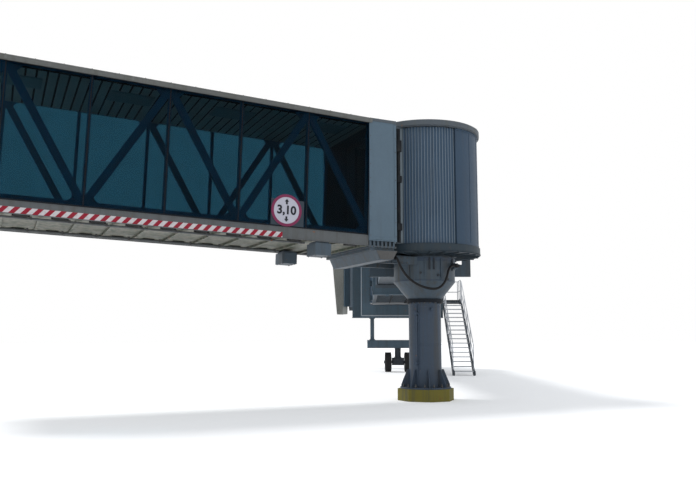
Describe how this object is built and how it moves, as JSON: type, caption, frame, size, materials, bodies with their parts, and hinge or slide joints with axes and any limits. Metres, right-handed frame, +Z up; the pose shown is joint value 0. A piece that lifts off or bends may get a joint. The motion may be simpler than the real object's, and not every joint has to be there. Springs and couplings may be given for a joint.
{
  "type": "jet bridge",
  "caption": "Apron-drive passenger boarding bridge: glazed truss tunnel on a round column, slatted rotunda, telescoping tunnels, lift frame with wheels, service stair and cab with canopy.",
  "frame": {"origin": "on the ground at the centre of the plinth, on the rotunda column axis", "axes": "+X along the fixed tunnel from the terminal to the rotunda, +Z up, +Y away from the side with the height sign"},
  "size_m": [22.137, 21.0982, 6.999],
  "materials": {
    "near_truss": "semi-gloss",
    "far_truss": "semi-gloss",
    "near_glass": "tinted",
    "far_glass": "tinted",
    "edge_beams": "satin",
    "warning_strip": "satin",
    "tunnel_deck": "matt",
    "tunnel_soffit": "matt",
    "tunnel_roof": "satin",
    "tunnel_ceiling": "satin",
    "terminal_frame": "satin",
    "height_sign": "semi-gloss",
    "portal": "satin",
    "jambs": "satin",
    "near_curtain": "satin",
    "far_curtain": "satin",
    "plinth": "matt",
    "column_base": "satin",
    "column": "satin",
    "column_head": "satin",
    "portal_bracket": "satin",
    "rotunda_floor": "satin",
    "rotunda_roof": "satin",
    "rotunda_shell": "satin",
    "hinge_yoke": "satin",
    "tunnel_a_floor": "satin",
    "tunnel_a_walls": "satin",
    "tunnel_a_roof": "satin",
    "tunnel_b_floor": "satin",
    "tunnel_b_walls": "satin",
    "tunnel_b_roof": "satin",
    "tunnel_b_rear_frame": "satin",
    "service_door": "satin",
    "cab_curtain": "satin",
    "lift_brackets": "satin",
    "lift_frame": "satin",
    "jack_covers": "satin",
    "lift_legs": "satin",
    "bogie": "satin",
    "wheel_left": "matt",
    "wheel_right": "matt",
    "cab_floor": "satin",
    "cab_walls": "satin",
    "cab_panel": "satin",
    "cab_roof": "satin",
    "canopy_frame": "satin",
    "bumper": "matt",
    "canopy": "folded",
    "stair_landing": "satin",
    "landing_rails": "semi-gloss",
    "stair_stringers": "satin",
    "stair_treads": "satin",
    "stair_rails": "semi-gloss",
    "hanging_cable": "matt",
    "cable_glands": "matt"
  },
  "bodies": {
    "fixed": {"near_truss": "near_truss", "far_truss": "far_truss", "near_glass": "near_glass", "far_glass": "far_glass", "edge_beams": "edge_beams", "warning_strip": "warning_strip", "tunnel_deck": "tunnel_deck", "tunnel_soffit": "tunnel_soffit", "tunnel_roof": "tunnel_roof", "tunnel_ceiling": "tunnel_ceiling", "terminal_frame": "terminal_frame", "height_sign": "height_sign", "portal": "portal", "jambs": "jambs", "near_curtain": "near_curtain", "far_curtain": "far_curtain", "plinth": "plinth", "column_base": "column_base", "column": "column", "column_head": "column_head", "portal_bracket": "portal_bracket", "hanging_cable": "hanging_cable", "cable_glands": "cable_glands"},
    "rotunda": {"rotunda_floor": "rotunda_floor", "rotunda_roof": "rotunda_roof", "rotunda_shell": "rotunda_shell", "hinge_yoke": "hinge_yoke"},
    "tunnel_a": {"tunnel_a_floor": "tunnel_a_floor", "tunnel_a_walls": "tunnel_a_walls", "tunnel_a_roof": "tunnel_a_roof"},
    "tunnel_b": {"tunnel_b_floor": "tunnel_b_floor", "tunnel_b_walls": "tunnel_b_walls", "tunnel_b_roof": "tunnel_b_roof", "tunnel_b_rear_frame": "tunnel_b_rear_frame", "service_door": "service_door", "cab_curtain": "cab_curtain", "lift_brackets": "lift_brackets", "stair_landing": "stair_landing", "landing_rails": "landing_rails"},
    "lift_frame": {"lift_frame": "lift_frame", "jack_covers": "jack_covers", "lift_legs": "lift_legs"},
    "bogie": {"bogie": "bogie"},
    "left_wheel": {"wheel_left": "wheel_left"},
    "right_wheel": {"wheel_right": "wheel_right"},
    "cab": {"cab_floor": "cab_floor", "cab_walls": "cab_walls", "cab_panel": "cab_panel", "cab_roof": "cab_roof", "canopy_frame": "canopy_frame", "bumper": "bumper", "canopy": "canopy"},
    "stair": {"stair_stringers": "stair_stringers", "stair_treads": "stair_treads", "stair_rails": "stair_rails"}
  },
  "joints": [
    {"name": "rotunda_swivel", "type": "hinge", "parent": "fixed", "child": "rotunda", "pos_m": [0, 0, 3.67], "axis": [0, 0, 1], "range_deg": [-55, 24.5]},
    {"name": "tunnel_pitch", "type": "hinge", "parent": "rotunda", "child": "tunnel_a", "pos_m": [0.68099, 1.33651, 3.68], "axis": [0.891, -0.454, 0], "range_deg": [-0.3, 4.8]},
    {"name": "tunnel_extend", "type": "slide", "parent": "tunnel_a", "child": "tunnel_b", "axis": [0.4538, 0.8906, -0.0314], "range_m": [-5.4, 1.4]},
    {"name": "lift_travel", "type": "slide", "parent": "tunnel_b", "child": "lift_frame", "axis": [0, 0, -1], "range_m": [-0.07, 1.25]},
    {"name": "bogie_steer", "type": "hinge", "parent": "lift_frame", "child": "bogie", "pos_m": [6.85526, 13.4542, 0.97], "axis": [0, 0, 1], "range_deg": [-90, 90]},
    {"name": "left_wheel_spin", "type": "hinge", "parent": "bogie", "child": "left_wheel", "pos_m": [6.4543, 13.65849, 0.45], "axis": [-0.891, 0.454, 0], "continuous": true},
    {"name": "right_wheel_spin", "type": "hinge", "parent": "bogie", "child": "right_wheel", "pos_m": [7.25621, 13.2499, 0.45], "axis": [-0.891, 0.454, 0], "continuous": true},
    {"name": "cab_swivel", "type": "hinge", "parent": "tunnel_b", "child": "cab", "pos_m": [8.032, 15.76369, 3.17115], "axis": [0.0143, 0.028, 0.9995], "range_deg": [-67.5, 45]},
    {"name": "stair_tilt", "type": "hinge", "parent": "tunnel_b", "child": "stair", "pos_m": [9.26755, 12.50566, 3.17], "axis": [0.891, -0.454, 0], "range_deg": [-3, 20]}
  ]
}
